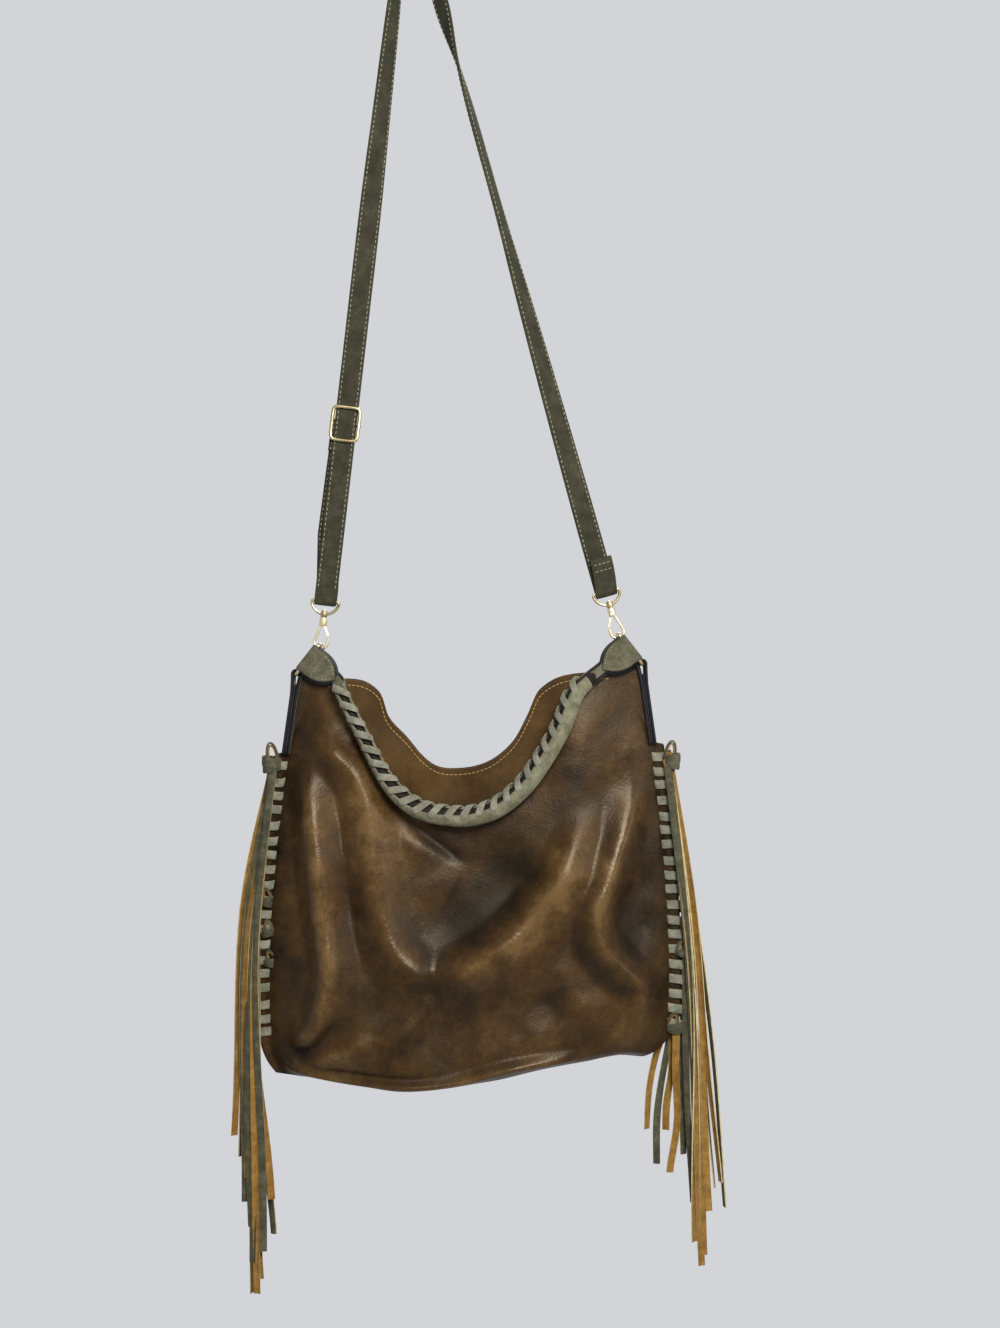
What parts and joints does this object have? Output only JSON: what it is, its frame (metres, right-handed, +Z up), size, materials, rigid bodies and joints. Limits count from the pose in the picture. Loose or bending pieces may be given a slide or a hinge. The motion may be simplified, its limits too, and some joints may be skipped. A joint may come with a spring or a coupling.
{
  "type": "hobo bag",
  "caption": "Slouchy hobo bag with side-laced leather-look panels, a laced tube handle, hanging fringe and a long strap on swivel snap hooks.",
  "frame": {"origin": "middle of the underside of the strap's top, where the strap lies over what it hangs on", "axes": "+Z up along the hanging strap, +X to the right in the picture, -Y towards the viewer, which is the bag's front"},
  "size_m": [0.4493, 0.0773, 1.2335],
  "materials": {
    "leather": "smooth, mottled brown",
    "suede": "napped olive suede",
    "strap": "dark olive, edge-stitched",
    "edge": "black, painted edges",
    "gold": "pale gold plate",
    "fringe": "two-tone suede, olive and tan"
  },
  "bodies": {
    "strap": {"crossbody_strap": "strap", "strap_adjust_run": "strap", "left_d_ring": "gold", "right_d_ring": "gold"},
    "slider": {"slider_buckle": "gold"},
    "left_hook": {"left_hook": "gold", "left_swivel_rivet": "gold", "left_gate_pin": "gold"},
    "left_gate": {"left_gate": "gold"},
    "right_hook": {"right_hook": "gold", "right_swivel_rivet": "gold", "right_gate_pin": "gold"},
    "right_gate": {"right_gate": "gold"},
    "bag": {"front_panel": "leather", "back_panel": "leather", "handle_core": "edge", "handle_lace": "suede", "handle_sleeve": "suede", "left_ring": "gold", "left_handle_tab": "suede", "left_side_strap": "edge", "left_side_lace": "suede", "right_ring": "gold", "right_handle_tab": "suede", "right_side_strap": "edge", "right_side_lace": "suede", "left_fringe_01": "fringe", "left_fringe_02": "fringe", "left_fringe_03": "fringe", "left_fringe_04": "fringe", "left_fringe_05": "fringe", "left_fringe_06": "fringe", "left_fringe_07": "fringe", "left_fringe_08": "fringe", "left_fringe_09": "fringe", "left_fringe_10": "fringe", "left_fringe_11": "fringe", "left_fringe_12": "fringe", "right_fringe_01": "fringe", "right_fringe_02": "fringe", "right_fringe_03": "fringe", "right_fringe_04": "fringe", "right_fringe_05": "fringe", "right_fringe_06": "fringe", "right_fringe_07": "fringe", "right_fringe_08": "fringe", "right_fringe_09": "fringe", "right_fringe_10": "fringe", "right_fringe_11": "fringe", "right_fringe_12": "fringe", "right_fringe_13": "fringe", "right_fringe_14": "fringe"}
  },
  "joints": [
    {"name": "bag_swing", "type": "hinge", "parent": "strap", "child": "bag", "pos_m": [-0.08291, 0.00295, -0.64858], "axis": [0.9994, 0, 0.0349], "range_deg": [-25, 25]},
    {"name": "slider_slide", "type": "slide", "parent": "strap", "child": "slider", "axis": [0.1144, 0, 0.9934], "range_m": [-0.09, 0.06], "deforming": ["strap_adjust_run"]},
    {"name": "left_hook_swivel", "type": "hinge", "parent": "strap", "child": "left_hook", "pos_m": [-0.07797, 0.00295, -0.60566], "axis": [0.1144, 0, 0.9934], "range_deg": [-30, 30]},
    {"name": "right_hook_swivel", "type": "hinge", "parent": "strap", "child": "right_hook", "pos_m": [0.1748, 0.00295, -0.59757], "axis": [-0.2703, 0, 0.9628], "range_deg": [-30, 30]},
    {"name": "left_gate_hinge", "type": "hinge", "parent": "left_hook", "child": "left_gate", "pos_m": [-0.07915, 0.00295, -0.62636], "axis": [0, 1, 0], "range_deg": [0, 24], "stiffness_Nm_per_rad": 0.02},
    {"name": "right_gate_hinge", "type": "hinge", "parent": "right_hook", "child": "right_gate", "pos_m": [0.17924, 0.00295, -0.61782], "axis": [0, -1, 0], "range_deg": [0, 24], "stiffness_Nm_per_rad": 0.02}
  ]
}
